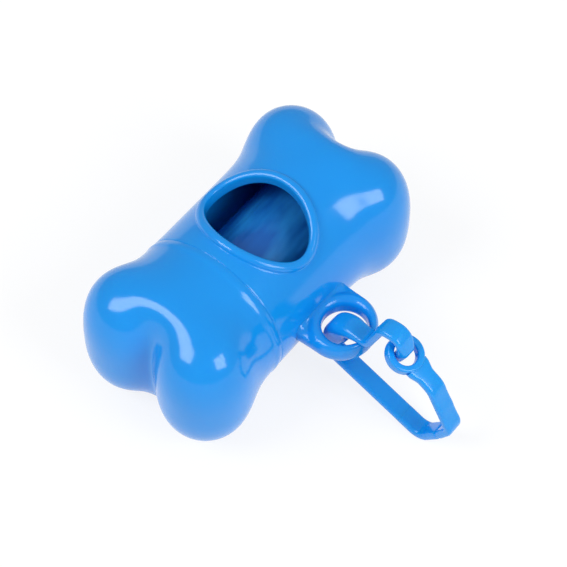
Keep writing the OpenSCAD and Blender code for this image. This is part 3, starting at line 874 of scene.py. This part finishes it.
# ---- Clip: foot, living hinge and snap arm -------------------------------------------------
# The far end of the same strip. It turns up at the foot, thins to a living hinge, and comes
# back as the snap arm, with two shallow thumb hollows on its outer side.
HINGE_MID = np.array([22.05, -13.1])
HEEL = np.array([24.6, -8.6])
ELBOW = np.array([18.9, 2.1])
ARM_T = 2.1
FOOT_WAY = (HINGE_MID - FOOT) / np.linalg.norm(HINGE_MID - FOOT)
RING_MID = RING_TOP - RING_UP * RING_T / 2
ARM_BENDS, ARM_STEP = (3.5, 1.0, 2.6, 4), 0.3
ARM_SUNK = 0.9  # how far the arm's end runs into the ring's band
NOTCH_HALF, NOTCH_BELOW, NOTCH_ABOVE = 0.38, 0.45, 0.25  # the living hinge's thinning
THUMB_AT, THUMB_HALF, THUMB_DEEP = (8.6, 13.6), 1.7, 0.12  # the two thumb hollows
FLARE_LONG, FLARE_EASE, FLARE_WIDER = 3.4, 3.0, 1.5  # the arm widens towards the ring


def in_frame(flat):
    """A side-view point on the clip's middle plane, in metres in the model's frame."""
    return tuple(float(v) for v in (from_side(0.0, flat) + BONE_AT) * MM)


arm_line, arm_far = rounded_line(
    [STRAP_JOIN, FOOT, HINGE_MID, HEEL, ELBOW, RING_MID + RING_OUT * (RING_R - ARM_SUNK)],
    ARM_BENDS, ARM_STEP,
)
from_hinge = np.linalg.norm(arm_line - HINGE_MID, axis=1)
notch = np.exp(-((from_hinge / NOTCH_HALF) ** 2))
past_hinge = arm_far - arm_far[np.argmin(from_hinge)]
thumb = sum(plateau(past_hinge, at, THUMB_HALF) for at in THUMB_AT)
flare = smooth_step((arm_far - (arm_far[-1] - FLARE_LONG)) / FLARE_EASE)
arm = put(
    "clip_snap_arm",
    *closed_strip(
        strip_rows(
            arm_line, CLIP_W + FLARE_WIDER * flare,
            ARM_T / 2 - NOTCH_BELOW * notch - THUMB_DEEP * thumb,
            ARM_T / 2 - NOTCH_ABOVE * notch,
        )
    ),
    CLIP_PLASTIC,
    ("clip", "arm", in_frame(HINGE_MID - FOOT_WAY), in_frame(HINGE_MID + FOOT_WAY)),
    "clip",
)
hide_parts("clip_arm")

# ---- Clip: catch ring ----------------------------------------------------------------------
# The flat ring at the arm's end, moulded in one with it, which the hook's tip drops into. It
# leans outwards, and its edges are well rounded.
RING_TURNS, RING_EDGE = 96, 0.5


def catch_mesh():
    """A washer with rounded edges: a rounded-rectangle section carried round the hole."""
    turn = 2 * math.pi * np.arange(RING_TURNS) / RING_TURNS
    r, half = RING_EDGE, RING_T / 2
    arc = np.radians(np.linspace(0, 90, 6))
    ins = [RING_HOLE_R + r - r * np.cos(arc), RING_R - r + r * np.sin(arc)]
    ups = [half - r + r * np.sin(arc), half - r + r * np.cos(arc)]
    q = np.concatenate([ins[0], ins[1], ins[1][::-1], ins[0][::-1]])[:, None]
    h = np.concatenate([ups[0], ups[1], -ups[1][::-1], -ups[0][::-1]])[:, None]
    x, out = q * np.cos(turn), q * np.sin(turn)
    flat = RING_MID + out[..., None] * RING_OUT + h[..., None] * RING_UP
    return from_side(x, flat).reshape(-1, 3), ring_table(len(q), RING_TURNS), None


catch = put("clip_catch_ring", *catch_mesh(), CLIP_PLASTIC, "arm", "clip")
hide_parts("clip_arm")

# ---- Floor, light and camera ---------------------------------------------------------------
# A white table, two nearly square soft boxes to the left and right of the camera, and a plain
# pale room. The table is plain white to the camera and in the gloss, and shaded for the rest.
FLOOR_SIZE = 6.0
CAMERA_AZIMUTH, CAMERA_HEIGHT, CAMERA_ROLL = -50.66, 56.73, -0.34
CAMERA_FAR = 0.540
PIXELS, FOCAL_PIXELS = 567, 2422.0
MIDDLE_X, MIDDLE_Y = 249.2, 270.2
BOX_RADIANCE = 5.4


def way_to(azimuth, height):
    """The arrow from the object towards a place at that azimuth and height, in degrees."""
    a, e = math.radians(azimuth), math.radians(height)
    return np.array([math.sin(a) * math.cos(e), -math.cos(a) * math.cos(e), math.sin(e)])


def aim(obj, azimuth, height, far, roll=0.0):
    """Puts a lamp or camera that far from the bone's middle, looking at it."""
    back = way_to(azimuth, height)
    a, r = math.radians(azimuth), math.radians(roll)
    right = np.array([math.cos(a), math.sin(a), 0.0])
    up = np.cross(back, right)
    right, up = right * math.cos(r) + up * math.sin(r), up * math.cos(r) - right * math.sin(r)
    matrix = np.eye(4)
    matrix[:3, 0], matrix[:3, 1], matrix[:3, 2] = right, up, back
    matrix[:3, 3] = BONE_AT * MM + back * far
    obj.matrix_world = Matrix(matrix.tolist())


def light_path(tree):
    """1 for camera, mirror and glass rays, 0 for the light that falls on the object."""
    path = node(tree, "ShaderNodeLightPath")
    first = node(
        tree, "ShaderNodeMath", set_operation="MAXIMUM", _0=path.outputs["Is Camera Ray"],
        _1=path.outputs["Is Glossy Ray"],
    )
    both = node(
        tree, "ShaderNodeMath", set_operation="MAXIMUM", _0=first.outputs[0],
        _1=path.outputs["Is Transmission Ray"],
    )
    return both.outputs[0]


floor_mesh = bpy.data.meshes.new("table_top")
corners = np.array([[-1, -1, 0], [1, -1, 0], [1, 1, 0], [-1, 1, 0]]) * FLOOR_SIZE / 2
floor_mesh.from_pydata(corners.tolist(), [], [(0, 1, 2, 3)])
floor = bpy.data.objects.new("table_top", floor_mesh)
bpy.context.scene.collection.objects.link(floor)
white = bpy.data.materials.new("table_white")
tree = bare_tree(white)
cloth = node(tree, "ShaderNodeBsdfDiffuse", Color=(0.86, 0.87, 0.88, 1))
shade = node(tree, "ShaderNodeBsdfDiffuse", Color=(0.22, 0.22, 0.22, 1))
glow = node(tree, "ShaderNodeEmission", Color=(1, 1, 1, 1), Strength=0.81)
lit = node(tree, "ShaderNodeAddShader", _0=shade.outputs[0], _1=glow.outputs[0])
plain = node(
    tree, "ShaderNodeMixShader", _0=light_path(tree), _1=cloth.outputs[0], _2=lit.outputs[0]
)
node(tree, "ShaderNodeOutputMaterial", Surface=plain.outputs[0])
floor_mesh.materials.append(white)

for name, azimuth, height, wide, tall, turned in (
    ("soft_box_left", -122.0, 48.4, 0.52, 0.49, 34.0),
    ("soft_box_right", 2.95, 38.9, 0.49, 0.55, -18.5),
):
    lamp = bpy.data.lights.new(name, "AREA")
    lamp.shape = "RECTANGLE"
    lamp.size, lamp.size_y = wide, tall
    lamp.energy = BOX_RADIANCE * math.pi * wide * tall
    box = bpy.data.objects.new(name, lamp)
    bpy.context.scene.collection.objects.link(box)
    aim(box, azimuth, height, 1.0, turned)

world = bpy.data.worlds.new("pale_room")
tree = bare_tree(world)
sky = node(tree, "ShaderNodeBackground", Color=(0.42, 0.43, 0.45, 1))
node(tree, "ShaderNodeOutputWorld", Surface=sky.outputs[0])
bpy.context.scene.world = world

lens = bpy.data.cameras.new("camera")
lens.sensor_fit = "HORIZONTAL"
lens.sensor_width = 36.0
lens.lens = FOCAL_PIXELS / PIXELS * lens.sensor_width
lens.shift_x = (PIXELS / 2 - MIDDLE_X) / PIXELS
lens.shift_y = (MIDDLE_Y - PIXELS / 2) / PIXELS
lens.clip_start, lens.clip_end = 0.01, 20.0
camera = bpy.data.objects.new("camera", lens)
bpy.context.scene.collection.objects.link(camera)
aim(camera, CAMERA_AZIMUTH, CAMERA_HEIGHT, CAMERA_FAR, CAMERA_ROLL)
bpy.context.scene.camera = camera
bpy.context.scene.view_settings.view_transform = "Standard"
